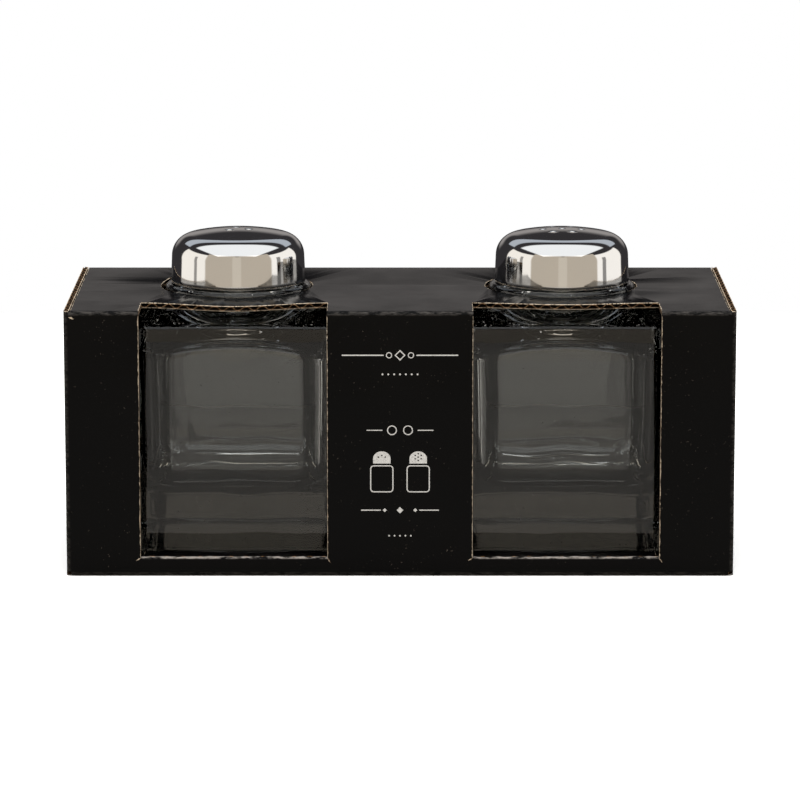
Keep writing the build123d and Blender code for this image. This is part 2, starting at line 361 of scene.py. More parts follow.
def make_object(name, points, faces, materials, slots=None, crease_angle=40, **attributes):
    """A smooth-shaded object from points in millimetres, with named float values on its points."""
    mesh = bpy.data.meshes.new(name)
    mesh.from_pydata((np.asarray(points) * MM).tolist(), [], [list(map(int, f)) for f in faces])
    for material in materials:
        mesh.materials.append(material)
    if slots is not None:
        mesh.polygons.foreach_set("material_index", np.asarray(slots, np.int32))
    for key, values in attributes.items():
        layer = mesh.attributes.new(key, "FLOAT", "POINT")
        layer.data.foreach_set("value", np.asarray(values, np.float32))
    mesh.polygons.foreach_set("use_smooth", [True] * len(mesh.polygons))
    mesh.validate()
    mesh.set_sharp_from_angle(angle=radians(crease_angle))
    return add_to_scene(name, mesh)


def inside(points, loops):
    """Which of the points lie inside the loops, by the even-odd rule."""
    x, y = points[:, 0, None], points[:, 1, None]
    found = np.zeros(len(points), bool)
    for loop in loops:
        a = np.array(loop)
        b = np.roll(a, -1, axis=0)
        spans = (a[:, 1] > y) != (b[:, 1] > y)
        rise = np.where(b[:, 1] == a[:, 1], 1.0, b[:, 1] - a[:, 1])
        at = a[:, 0] + (b[:, 0] - a[:, 0]) * (y - a[:, 1]) / rise
        found ^= np.count_nonzero(spans & (x < at), axis=1) % 2 == 1
    return found


def triangulate(loops, creases=(), lines=(), dots=()):
    """Flat triangles that fill the loops, with edges along the creases and lines and points at dots."""
    points, edges = [], []
    for loop in (*loops, *creases):
        first = len(points)
        points += [Vector(p) for p in loop]
        edges += [(first + i, first + (i + 1) % len(loop)) for i in range(len(loop))]
    for a, b in lines:
        edges.append((len(points), len(points) + 1))
        points += [Vector(a), Vector(b)]
    points += [Vector(p) for p in dots]
    found = geometry.delaunay_2d_cdt(points, edges, [], 0, 1e-5, False)
    flat = np.array([(p.x, p.y) for p in found[0]])
    triangles = np.array([list(f) for f in found[2]])
    kept = triangles[inside(flat[triangles].mean(axis=1), loops)]
    used = np.unique(kept)
    renumber = np.zeros(len(flat), int)
    renumber[used] = np.arange(len(used))
    return flat[used], renumber[kept]


def border(triangles):
    """The directed edges that only one triangle has."""
    edges = np.concatenate([triangles[:, [0, 1]], triangles[:, [1, 2]], triangles[:, [2, 0]]])
    known = {tuple(e) for e in edges.tolist()}
    return np.array([e for e in edges.tolist() if (e[1], e[0]) not in known])


def closed_sheet(triangles, high, low, top_slots=0, low_slot=0, wall_slot=0):
    """Points, faces and slots of a closed solid between two sheets of the same flat triangles."""
    count = len(high)
    rim = border(triangles)
    walls = np.stack([rim[:, 1], rim[:, 0], rim[:, 0] + count, rim[:, 1] + count], axis=1)
    faces = triangles.tolist() + (triangles[:, ::-1] + count).tolist() + walls.tolist()
    shares = ((top_slots, triangles), (low_slot, triangles), (wall_slot, walls))
    slots = [slot for given, part in shares for slot in np.broadcast_to(given, len(part)).tolist()]
    return np.concatenate([high, low]), faces, slots


def join_parts(parts):
    """One list of points, faces and slots out of several."""
    points, faces, slots, values = [], [], [], []
    total = 0
    for part_points, part_faces, part_slots, part_values in parts:
        points.append(part_points)
        faces += [[i + total for i in f] for f in part_faces]
        slots += part_slots
        values.append(part_values)
        total += len(part_points)
    return np.concatenate(points), faces, slots, np.concatenate(values)


def spread(a, b, count):
    """The numbers that divide the run from a to b into count equal steps, with both ends."""
    return [a + (b - a) * i / count for i in range(count + 1)]


def divide(a, b, count):
    """The points that divide the run from a to b, without its ends."""
    return list(zip(spread(a[0], b[0], count), spread(a[1], b[1], count)))[1:-1]


def fine_loop(corners, step):
    """A closed outline with points about step apart."""
    loop = []
    for (x0, y0), (x1, y1) in zip(corners, corners[1:] + corners[:1]):
        count = max(1, round(hypot(x1 - x0, y1 - y0) / step))
        loop += [(x0, y0), *divide((x0, y0), (x1, y1), count)]
    return loop


def rectangle(x0, y0, x1, y1):
    return [(x0, y0), (x1, y0), (x1, y1), (x0, y1)]


def circle(x, y, radius, count, turn=0.0):
    """The corners of a regular polygon round (x, y), which stands for a circle."""
    angles = [turn + 2 * pi * i / count for i in range(count)]
    return [(x + radius * cos(a), y + radius * sin(a)) for a in angles]


def ragged(loop, least, most, seed, outward=False):
    """The outline drawn in by an uneven amount, as a torn edge is."""
    points = np.array(loop)
    along = np.roll(points, -1, axis=0) - np.roll(points, 1, axis=0)
    normal = np.stack([-along[:, 1], along[:, 0]], axis=1)
    normal /= np.linalg.norm(normal, axis=1)[:, None]
    area = np.sum(points[:, 0] * np.roll(points[:, 1], -1) - points[:, 1] * np.roll(points[:, 0], -1))
    way = 1 if (area > 0) != outward else -1
    depth = []
    for x, y in loop:
        rough = noise.noise(Vector((x * 1.1, y * 1.1, seed)))
        fine = noise.noise(Vector((x * 4.0, y * 4.0, seed + 9)))
        depth.append(least + (most - least) * min(1.0, max(0.0, 0.4 + rough + 0.5 * fine)))
    return [tuple(p) for p in points + way * normal * np.array(depth)[:, None]]


# ==== Corrugated board ====
def flat_place(origin, across, along, out):
    """Maps (u, v) on a panel and w through its thickness to the frame."""
    origin, across, along, out = (np.array(v, float) for v in (origin, across, along, out))

    def place(uv, w):
        return origin + uv[:, :1] * across + uv[:, 1:] * along + np.reshape(w, (-1, 1)) * out

    return place


def board(name, body, node, place, outline, holes=(), step=0.6, sag=None, phase=0.0, flip=False,
          folded=(), rows=(), edge=None):
    """A panel of single-wall board: two liners with torn edges on a fluted medium.

    The outline is in (u, v) with the flutes along v, and place() maps it to the frame. flip is for a
    panel whose (u, v, outward) is left-handed. The lines of the outline in folded, each an axis and a
    value, run on round a fold, so they aren't torn. rows are values of v where place() bends the
    panel, sag is how far it rises at a place, and edge is a material for all its cut edges."""
    loops = [fine_loop(outline, step), *holes]
    seed = sum(map(ord, name)) % 97
    dip = sag or (lambda uv: np.zeros(len(uv)))
    low_u, high_u = min(p[0] for p in outline), max(p[0] for p in outline)
    low_v, high_v = min(p[1] for p in outline), max(p[1] for p in outline)
    across = [((low_u - 1, v), (high_u + 1, v)) for v in rows]
    parts = []
    # Outer and inner liners. Their cut edges are bevelled back to bare fibre.
    rims = [ragged(loops[0], *TEAR, seed)]
    rims += [ragged(hole, *TEAR, seed + i, outward=True) for i, hole in enumerate(holes)]
    flat, triangles = triangulate(loops, rims, across)
    on_rim = np.zeros(len(flat), bool)
    on_rim[np.unique(border(triangles))] = True
    for axis, value in folded:
        on_rim &= np.abs(flat[:, axis] - value) > 0.02
    fibre = on_rim[triangles].any(axis=1)
    shift = dip(flat)
    bevel = np.where(on_rim, LINER * 0.6, 0.0)
    order = triangles[:, ::-1] if flip else triangles
    for inner in (False, True):
        if inner:
            high = place(flat, shift + bevel)
            low = place(flat, shift + LINER)
            turned = order[:, ::-1]
        else:
            high = place(flat, BOARD + shift - bevel)
            low = place(flat, BOARD + shift - LINER)
            turned = order
        torn = np.where(on_rim[border(turned)].any(axis=1), 2, 0)
        # Slot 3, on the faces against the medium, is the darkened kraft: painted shade inside the
        # flutes.
        points, faces, slots = closed_sheet(turned, high, low, np.where(fibre, 2, 0), 3, torn)
        parts.append((points, faces, slots, np.tile(flat[:, 0], 2)))
    # The fluted medium, cut by the same outline. Its faces take the darkened kraft as painted shade
    # inside the flutes; its cut edges stay the lighter kraft.
    count = round((high_u - low_u) / FLUTE * STEPS_PER_FLUTE)
    cuts = spread(low_u, high_u, count)[1:-1]
    along = [((u, low_v - 1), (u, high_v + 1)) for u in cuts]
    flat, triangles = triangulate(loops, (), along + across)
    swing = BOARD / 2 - LINER - MEDIUM / 2 - 0.01
    wobble = np.array([noise.noise(Vector((u * 0.35, v * 0.05, seed))) for u, v in flat])
    wave = np.sin(2 * pi * flat[:, 0] / FLUTE + phase + 0.9 * wobble)
    middle = BOARD / 2 + swing * np.clip(1.25 * wave, -1, 1) + dip(flat)
    order = triangles[:, ::-1] if flip else triangles
    high = place(flat, middle + MEDIUM / 2)
    low = place(flat, middle - MEDIUM / 2)
    points, faces, slots = closed_sheet(order, high, low, 3, 3, 1)
    parts.append((points, faces, slots, np.tile(flat[:, 0], 2)))
    points, faces, slots, flutes = join_parts(parts)
    wear = np.zeros(len(points))
    raw = (edge or BROWN, edge or FIBRE)
    # The last material is the darkened kraft, painted shade for the inside of the flutes.
    made = make_object(name, points, faces, (PRINT, *raw, SHADED_CORE), slots, flute=flutes, wear=wear)
    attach(made, body)
    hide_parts(node)


def fold(name, start, end, centre, radius, angles, wear, leg=0.0, crush=0.0, thick=LINER,
         upright=False):
    """The outer liner where it goes round a fold: an arc that runs out into a straight leg, swept from
    start to end along X, with centre and angles in (y, z). An upright fold runs along Z, in (x, y).
    Its middle is dented by up to crush, and rubbed through to the fibre by wear, which on the sill is
    partly a painted highlight."""
    seed = start * 0.7 + end
    count = int(abs(end - start) / 0.6) + 1
    first, last = (radians(a) for a in angles)
    arc = spread(first, last, 10)
    section = [(cos(a) * radius, sin(a) * radius, cos(a), sin(a)) for a in arc]
    if leg:
        p, q, out_p, out_q = section[-1]
        way = leg if last > first else -leg
        section.append((p - way * sin(last), q + way * cos(last), out_p, out_q))
    high, low, worn_and_highlit = [], [], []
    for s in spread(start, end, count):
        for k, (p, q, out_p, out_q) in enumerate(section):
            middle = sin(pi * k / (len(section) - 1))
            dent = crush * middle * (0.5 + 0.5 * noise.noise(Vector((s * 0.45, k * 0.2, seed))))
            y, z = centre[0] + p, centre[1] + q
            high.append((s, y - out_p * dent, z - out_q * dent))
            low.append((s, y - out_p * (dent + thick), z - out_q * (dent + thick)))
            worn_and_highlit.append(wear * middle)
    columns = len(section)
    triangles = []
    for i in range(count):
        for k in range(columns - 1):
            a, b = i * columns + k, (i + 1) * columns + k
            triangles += [(a, b, b + 1), (a, b + 1, a + 1)]
    order = np.array(triangles)
    if (end > start) == (last > first):
        order = order[:, ::-1]
    high, rim = np.array(high), border(order)
    at_end = high[rim[:, 0], 0] == high[rim[:, 1], 0]
    points, faces, slots = closed_sheet(order, high, np.array(low), wall_slot=np.where(at_end, 2, 0))
    if upright:
        points = points[:, [1, 2, 0]]
    materials = (PRINT, BROWN, FIBRE)
    made = make_object(name, points, faces, materials, slots, 60, flute=points[:, 0], wear=worn_and_highlit + worn_and_highlit)
    return made


def window_line(gap=0.0):
    """The X ranges of the two windows, left first, each made wider by gap at both ends."""
    half = WINDOW_HALF + gap
    return [(sign * SHAKER_X - half, sign * SHAKER_X + half) for _, sign in SIDES]


def front_board():
    """The front, between its folds, with the windows cut from the sill up."""
    (l0, l1), (r0, r1) = window_line()
    top, sill = FOLD_TOP, WINDOW_SILL - BOARD / 2
    outline = [(-FOLD_X, FOLD_RADIUS), (FOLD_X, FOLD_RADIUS), (FOLD_X, top), (r1, top), (r1, sill)]
    outline += [(r0, sill), (r0, top), (l1, top), (l1, sill), (l0, sill), (l0, top), (-FOLD_X, top)]
    folded = [(0, -FOLD_X), (0, FOLD_X), (1, FOLD_RADIUS), (1, top), (1, sill)]
    place = flat_place((0, FRONT_Y + BOARD, 0), X, Z, (0, -1, 0))
    board("front_board", "carton", "front_panel", place, outline, folded=folded)


def top_board():
    """The top, with a notch and a hole for each shaker. Its strips in front of the holes have sagged,
    the left one more, and it stands up a little behind the left hole's left edge."""
    half = TOP[1].x
    front, rear = FOLD_FRONT, FOLD_REAR
    notch = FRONT_Y + WINDOW_REACH
    (l0, l1), (r0, r1) = window_line()
    outline = [(-half, front), (l0, front), (l0, notch), (l1, notch), (l1, front), (r0, front)]
    outline += [(r0, notch), (r1, notch), (r1, front), (half, front), (half, rear), (-half, rear)]
    centres = {side: sign * SHAKER_X + HOLE_SHIFT[side] for side, sign in SIDES}
    holes = [circle(x, SHAKER_Y, HOLE_RADIUS, 180) for x in centres.values()]
    sag_ends = SHAKER_Y - HOLE_RADIUS + 3.0

    def sag(uv):
        lifted = uv - (-SHAKER_X - 19.0, SHAKER_Y + 9.5)
        shift = EDGE_LIFT * np.exp(-(lifted**2).sum(axis=1) / EDGE_LIFT_REACH**2)
        fade = np.clip((sag_ends - uv[:, 1]) / (sag_ends - notch), 0, 1)
        for side, sign in SIDES:
            near = np.clip(1 - np.abs(uv[:, 0] - sign * SHAKER_X) / WINDOW_HALF, 0, 1)
            shift -= STRIP_SAG[side] * np.sin(near * pi / 2) ** 2 * fade
        return shift

    place = flat_place((0, 0, TOP_Z - BOARD), X, Y, Z)
    folded = [(1, front), (1, rear)]
    board("top_board", "carton_lid", "top_panel", place, outline, holes, sag=sag, folded=folded)


def back_board():
    outline = rectangle(-BACK[1].x, BACK[0].z, BACK[1].x, FOLD_TOP)
    place = flat_place((0, REAR_Y - BOARD, 0), X, Z, Y)
    folded = [(1, FOLD_TOP)]
    board("back_board", "carton_back", "back_panel", place, outline, flip=True, folded=folded)


def hidden_boards():
    """The bottom and the flap that stands up from its rear edge."""
    outline = rectangle(-BOTTOM[1].x, FOLD_FRONT, BOTTOM[1].x, BOTTOM[1].y)
    place = flat_place((0, 0, BOARD), X, Y, (0, 0, -1))
    rough = {"step": COARSE_EDGE, "flip": True}
    folded = [(1, FOLD_FRONT)]
    board("bottom_board", "carton", "bottom_panel", place, outline, folded=folded, **rough)
    low, high = REAR_FLAP
    outline = rectangle(low.x, low.z, high.x, high.z)
    place = flat_place((0, high.y - BOARD, 0), X, Z, Y)
    # The rear flap's cut edges take the darkened kraft as painted shade.
    board("rear_flap_board", "carton", "rear_flap", place, outline, edge=SHADED_EDGE, **rough)


def end_board(side, sign):
    """An end, from the upright front fold to its rear edge."""
    name, node = f"{side}_end_board", f"{side}_end_panel"
    outline = rectangle(FOLD_FRONT, 0, REAR_Y, TOP_Z)
    place = flat_place((sign * (HALF_WIDTH - BOARD), 0, 0), Y, Z, (sign, 0, 0))
    folded = [(0, FOLD_FRONT)]
    board(name, "carton", node, place, outline, flip=sign < 0, phase=1.0 + sign, folded=folded)


def end_tab_board(side, sign):
    """The bottom's tab inside an end, with its two upper corners cut off."""
    low, high = cad_box(f"{side}_end_tab")
    shoulder = high.z - TAB_CORNER
    outline = [(low.y, low.z), (high.y, low.z), (high.y, shoulder), (high.y - TAB_CORNER, high.z)]
    outline += [(low.y + TAB_CORNER, high.z), (low.y, shoulder)]
    place = flat_place((sign * (HALF_WIDTH - 2 * BOARD), 0, 0), Y, Z, (sign, 0, 0))
    name, node = f"{side}_tab_board", f"{side}_end_tab"
    board(name, "carton", node, place, outline, step=COARSE_EDGE, flip=sign < 0)


def window_flap_board(side):
    """The card from the window, bent down from the sill and flat under the jar."""
    low, high = cad_box(f"{side}_window_flap")
    start_y, start_z = FRONT_Y + BOARD, WINDOW_SILL
    flat_y, flat_z = start_y + FLAP_SLOPE, 2 * BOARD
    slope = hypot(flat_y - start_y, flat_z - start_z)
    lean = atan2(flat_z - start_z, flat_y - start_y)
    bend = 3.0

    def place(uv, w):
        """Along the slope, round a soft bend, then flat."""
        v = uv[:, 1]
        share = np.clip((v - slope + bend / 2) / bend, 0, 1)
        angle = lean * (1 - share * share * (3 - 2 * share))
        on_slope = v < slope
        y = np.where(on_slope, start_y + v * cos(lean), flat_y + v - slope)
        z = np.where(on_slope, start_z + v * sin(lean), flat_z)
        depth = np.reshape(w, -1) - BOARD
        return np.stack([uv[:, 0], y - np.sin(angle) * depth, z + np.cos(angle) * depth], axis=1)

    first = 0.3
    outline = rectangle(low.x, first, high.x, slope + high.y - flat_y)
    rows = [slope + bend / 10 * i for i in range(-5, 6)]
    name, node = f"{side}_flap_board", f"{side}_window_flap"
    board(name, "carton", node, place, outline, step=1.5, rows=rows, folded=[(1, first)])


def carton():
    """Every panel of the carton."""
    front_board()
    top_board()
    back_board()
    hidden_boards()
    for side, sign in SIDES:
        end_board(side, sign)
        end_tab_board(side, sign)
        window_flap_board(side)


# ==== Folds ====
CRUSH = 0.08
SILL_CRUSH = 0.4
FOLD_WEAR = 0.16
CORNER_WEAR = 0.1
# On the sill, the pale rubbed-through line is partly real cracked fibre and partly a painted highlight
# along the fold.
SILL_WEAR_AND_HIGHLIGHT = 2.4


def folds():
    """The liner round each fold. The folds that move are left out of every body; the fixed ones join
    the carton.
    """
    (l0, l1), (r0, r1) = window_line()
    front, rear, top = FOLD_FRONT, FOLD_REAR, FOLD_TOP
    moving = {"wear": FOLD_WEAR, "crush": CRUSH}
    for name, x0, x1 in (("left", -FOLD_X, l0), ("middle", l1, r0), ("right", r1, FOLD_X)):
        strip = fold(f"top_fold_{name}", x0, x1, (front, top), FOLD_RADIUS, (180, 90), **moving)
        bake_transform(strip)
    half = BACK[1].x
    strip = fold("rear_fold", -half, half, (rear, top), FOLD_RADIUS, (90, 0), **moving)
    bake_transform(strip)
    centre = (front, FOLD_RADIUS)
    fixed = [fold("bottom_fold", -FOLD_X, FOLD_X, centre, FOLD_RADIUS, (270, 180), CORNER_WEAR)]
    for (x0, x1), (side, sign) in zip(window_line(-0.1), SIDES):
        centre = (FRONT_Y + BOARD / 2, WINDOW_SILL - BOARD / 2)
        # The sill's pale line is partly real cracked fibre and partly a painted highlight.
        sill = fold(
            f"{side}_sill_fold", x0, x1, centre, BOARD / 2, (180, 20), SILL_WEAR_AND_HIGHLIGHT,
            leg=0.7, crush=SILL_CRUSH,
        )
        angles = (180, 270) if sign < 0 else (270, 360)
        corner = fold(
            f"{side}_front_corner", FOLD_RADIUS, TOP_Z - 0.1, (sign * FOLD_X, front), FOLD_RADIUS,
            angles, CORNER_WEAR, crush=CRUSH, thick=BOARD * 0.7, upright=True,
        )
        fixed += [sill, corner]
    for piece in fixed:
        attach(piece, "carton")


def raised_on_front(flat, triangles, out, depth):
    """A closed solid from flat (x, z) triangles, from out before the front to depth behind it."""
    high = np.stack([flat[:, 0], np.full(len(flat), FRONT_Y - out), flat[:, 1]], axis=1)
    low = high + (0, out + depth, 0)
    return closed_sheet(triangles, high, low)


def sliver(name, start, end, width):
    """A thin raised shred of paper on the front, pointed at both ends."""
    a, b = Vector(start), Vector(end)
    along = b - a
    side = Vector((-along.y, along.x)).normalized() * width / 2
    count = 8
    rim = []
    for i in (*range(count + 1), *range(count - 1, 0, -1)):
        there = len(rim) <= count
        reach = sin(pi * i / count) * (1 + 0.4 * sin(5.0 * i) if there else -1)
        rim.append(a + along * i / count + side * reach)
    flat, triangles = triangulate([[tuple(p) for p in rim]])
    points, faces, slots = raised_on_front(flat, triangles, 0.01, 0.12)
    made = make_object(name, points, faces, (FIBRE,), slots)
    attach(made, "carton")


def tears():
    """Short tears at the windows' lower corners, and one at the front's upper left corner."""
    for (x0, x1), (side, _) in zip(window_line(), SIDES):
        z = WINDOW_SILL - 0.3
        sliver(f"{side}_tear_a", (x0 + 0.1, z), (x0 - 1.3, z - 0.9), 0.28)
        sliver(f"{side}_tear_b", (x1 - 0.1, z), (x1 + 0.9, z - 1.5), 0.28)
    sliver("corner_tear", (0.1 - FOLD_X, TOP_Z - 1.5), (1.7 - FOLD_X, TOP_Z - 2.1), 0.45)


carton()
folds()
tears()


# ==== Jar ====
JAR_HALF = (JARS["right"][1].x - JARS["right"][0].x) / 2
JAR_BASE = JARS["right"][0].z
RIM_Z = JARS["right"][1].z
JAR_CORNER = 2.4
HEEL_INSET = 5.0
SHOULDER_LOW = 67.1
SHOULDER_TOP = 70.5
SHOULDER_EDGE = 2.2
SHOULDER_SHARES = (0.5, 0.7, 0.85)  # where the shoulder's slope is divided
COLLAR_RADIUS = 20.7
COLLAR_TOP = 75.0
NECK_RADIUS = 15.9
BORE_RADIUS = 13.2
CAVITY_FLOOR = 20.5
CAVITY_HALVES = (26.3, 26.7)  # at the floor and at SHOULDER_TOP
CAVITY_CORNER = 9.0
CAVITY_EDGE = 7.5
CAVITY_EDGE_ROOM = 15.5
ROOF_RADIUS = 77.0
ROOF_HEIGHT = 62.5
ROOF_CENTRE = ROOF_HEIGHT - sqrt(ROOF_RADIUS**2 - CAVITY_HALVES[1] ** 2)
ROOF_EDGE = 4.5
ROOF_EDGE_ROOM = 7.2
PUSH_UP = 0.9  # how far the middle of the base stands off the surface below
THREAD_PITCH = 4.0
THREAD_TURNS = 1.25
THREAD_START = SHELLS["right"][0].z + 2.0
THREAD_DEPTH = 1.0
THREAD_FADE = 0.06  # share of a turn over which the thread's ends run out
WAVE_OUTSIDE, WAVE_INSIDE = 0.10, 0.35  # depth of the glass's slow unevenness
FLOOR_WAVE = 0.5
WAVES_END = COLLAR_TOP - 4
AROUND = 288


def square_radius(angle, half, corner):
    """Distance from the centre to a rounded square's edge in a direction."""
    a = abs((angle + pi / 4) % (pi / 2) - pi / 4)
    flat = half - corner
    if half * tan(a) <= flat:
        return half / cos(a)
    reach = flat * (cos(a) + sin(a))
    return reach + sqrt(max(0.0, reach**2 - 2 * flat**2 + corner**2))


def rounded_path(corners):
    """An outline through corners that are (r, z), or (r, z, rounding, samples) where it is rounded."""
    path = [Vector(corners[0][:2])]
    for before, here, after in zip(corners, corners[1:], corners[2:]):
        a, b, c = (Vector(p[:2]) for p in (before, here, after))
        if len(here) == 2:
            path.append(b)
            continue
        rounding, count = here[2:]
        into, away = (a - b).normalized(), (c - b).normalized()
        half = into.angle(away) / 2
        reach = min(rounding / tan(half), 0.49 * (a - b).length, 0.49 * (c - b).length)
        radius = reach * tan(half)
        centre = b + (into + away).normalized() * (radius / sin(half))
        p, q = b + into * reach - centre, b + away * reach - centre
        first = atan2(p.y, p.x)
        sweep = (atan2(q.y, q.x) - first + pi) % (2 * pi) - pi
        for i in range(count + 1):
            angle = first + sweep * i / count
            path.append(centre + Vector((cos(angle), sin(angle))) * radius)
    path.append(Vector(corners[-1][:2]))
    return path


def roof_z(radius):
    """Height of the cavity's domed roof."""
    return ROOF_CENTRE + sqrt(ROOF_RADIUS**2 - radius**2)


def cavity_radius(angle, z):
    """From the axis to the cavity's wall in a direction."""
    share = (z - CAVITY_FLOOR) / (SHOULDER_TOP - CAVITY_FLOOR)
    half = CAVITY_HALVES[0] + (CAVITY_HALVES[1] - CAVITY_HALVES[0]) * share
    return square_radius(angle, half, CAVITY_CORNER)


def jar_section(angle):
    """The outline of the glass in one direction from the axis: outside from the base up, then inside.
    Beside a rounded corner the next point stands far enough away to leave room for the rounding."""
    wall = square_radius(angle, JAR_HALF, JAR_CORNER)
    heel = square_radius(angle, JAR_HALF - HEEL_INSET, JAR_CORNER)
    push_up = JAR_BASE + PUSH_UP
    corners = [(0.0, push_up), *divide((0.0, push_up), (heel, push_up), 8)]
    corners += [(heel, push_up, 1.5, 3), (heel + 1.2, JAR_BASE, 1.0, 3), (wall, JAR_BASE, 2.2, 6)]
    corners += divide((wall, JAR_BASE + 2), (wall, SHOULDER_LOW - 3), 24)
    corners.append((wall, SHOULDER_LOW, SHOULDER_EDGE, 10))
    for share in SHOULDER_SHARES:
        r = wall + (COLLAR_RADIUS - wall) * share
        corners.append((r, SHOULDER_LOW + (SHOULDER_TOP - SHOULDER_LOW) * share))
    corners.append((COLLAR_RADIUS, SHOULDER_TOP, 0.6, 4))
    corners += [(COLLAR_RADIUS, COLLAR_TOP, 1.6, 8), (NECK_RADIUS, COLLAR_TOP, 0.6, 3)]
    corners += divide((NECK_RADIUS, COLLAR_TOP), (NECK_RADIUS, RIM_Z), 40)
    corners += [(NECK_RADIUS, RIM_Z, 0.8, 4), (BORE_RADIUS, RIM_Z, 0.8, 4)]
    corners += divide((BORE_RADIUS, RIM_Z), (BORE_RADIUS, roof_z(BORE_RADIUS)), 6)
    corners.append((BORE_RADIUS, roof_z(BORE_RADIUS), 1.0, 5))
    roof = cavity_radius(angle, ROOF_HEIGHT)
    corners += [(r, roof_z(r)) for r in spread(BORE_RADIUS, roof - ROOF_EDGE_ROOM, 8)[1:]]
    corners.append((roof, roof_z(roof), ROOF_EDGE, 12))
    high, low = roof_z(roof) - ROOF_EDGE_ROOM, CAVITY_FLOOR + CAVITY_EDGE_ROOM
    corners += [(cavity_radius(angle, z), z) for z in spread(high, low, 12)]
    floor_radius = cavity_radius(angle, CAVITY_FLOOR)
    corners.append((floor_radius, CAVITY_FLOOR, CAVITY_EDGE, 16))
    flat = floor_radius - CAVITY_EDGE_ROOM
    corners += [(r, CAVITY_FLOOR) for r in spread(flat, 0.0, 6)]
    return rounded_path(corners)


def thread_height(angle, z):
    """How far the thread's ridge stands out of the neck at a place."""
    best = 0.0
    for turn in (0, 1):
        travelled = angle % (2 * pi) / (2 * pi) + turn
        if travelled > THREAD_TURNS:
            continue
        fade = min(1.0, travelled / THREAD_FADE, (THREAD_TURNS - travelled) / THREAD_FADE)
        offset = abs(z - THREAD_START - THREAD_PITCH * travelled)
        best = max(best, min(1.0, max(0.0, (0.95 - offset) / 0.6)) * fade)
    return best


def uneven(x, y, z, angle, inner, sign):
    """A point of the jar, moved a little as pressed glass is, except near the axis and collar."""
    depth = WAVE_INSIDE if inner else WAVE_OUTSIDE
    seed = Vector((x * 0.075, y * 0.075, z * 0.055 + 40 * sign + 7 * inner))
    shift = noise.noise(seed) * depth - (0 if inner else depth * 0.6)
    shift *= min(1.0, max(0.0, (hypot(x, y) - 6) / 8)) * min(1.0, max(0.0, (WAVES_END - z) / 6))
    x += cos(angle) * shift
    y += sin(angle) * shift
    if inner and z < CAVITY_FLOOR + 4:
        z += FLOOR_WAVE * noise.noise(Vector((x * 0.09, y * 0.09, 3.3 * sign)))
    return x, y, z


def ring_start(k):
    """Index of the first point of ring k of the jar, where ring 0 is one point."""
    return 1 + (k - 1) * AROUND


def jar(side, sign):
    """The glass, from rings of points between its two ends on the axis."""
    sections = [jar_section(2 * pi * i / AROUND) for i in range(AROUND)]
    rings = len(sections[0])
    rim = max(range(rings), key=lambda k: sections[0][k].y)
    centre_x = sign * SHAKER_X
    points = []
    for k in range(rings):
        at_axis = k in (0, rings - 1)
        for i in range(1 if at_axis else AROUND):
            angle = 2 * pi * i / AROUND
            r, z = sections[i][k]
            on_neck = abs(r - NECK_RADIUS) < 0.01 and z > COLLAR_TOP + 0.5
            if on_neck:
                r += THREAD_DEPTH * thread_height(angle, z)
            x, y = r * cos(angle), r * sin(angle)
            if not at_axis and not on_neck and z < WAVES_END:
                x, y, z = uneven(x, y, z, angle, k > rim, sign)
            points.append((centre_x + x, SHAKER_Y + y, z))
    last = ring_start(rings - 2)
    turns = [(i, (i + 1) % AROUND) for i in range(AROUND)]
    faces = [(0, ring_start(1) + j, ring_start(1) + i) for i, j in turns]
    for k in range(1, rings - 2):
        here, above = ring_start(k), ring_start(k + 1)
        faces += [(here + i, here + j, above + j, above + i) for i, j in turns]
    faces += [(last + AROUND, last + i, last + j) for i, j in turns]
    made = make_object(f"{side}_glass_jar", points, faces, (GLASS,), crease_angle=75)
    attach(made, f"{side}_shaker")
    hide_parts(f"{side}_jar")


# ==== Caps ====
CAP_RADIUS = (SHELLS["right"][1].x - SHELLS["right"][0].x) / 2
CAP_RIM = SHELLS["right"][0].z
CAP_HEIGHT = SHELLS["left"][1].z - CAP_RIM
CAP_SHOULDER = 6.2
CAP_STRAIGHT = 7.4
CAP_TAPER = 0.3
SHELL = 0.4  # thickness
FOOT = 0.18  # rounding of the bottom edge
LIP = 0.4  # how far round a hole the surface rolls in
LIP_DEPTH = 0.28
CAP_AROUND = 160
CAP_SPACING = 0.8  # of the points on the crown
HOLE_AROUND = 28
# Pouring holes as (radius, places), with each place as (distance from the axis, direction).
HOLES = {
    "left": (0.8, [(3.2, radians(-17 + 120 * i)) for i in range(3)]),
    "right": (0.65, [(0.0, 0.0)] + [(5.4, radians(60 * i)) for i in range(6)]),
}


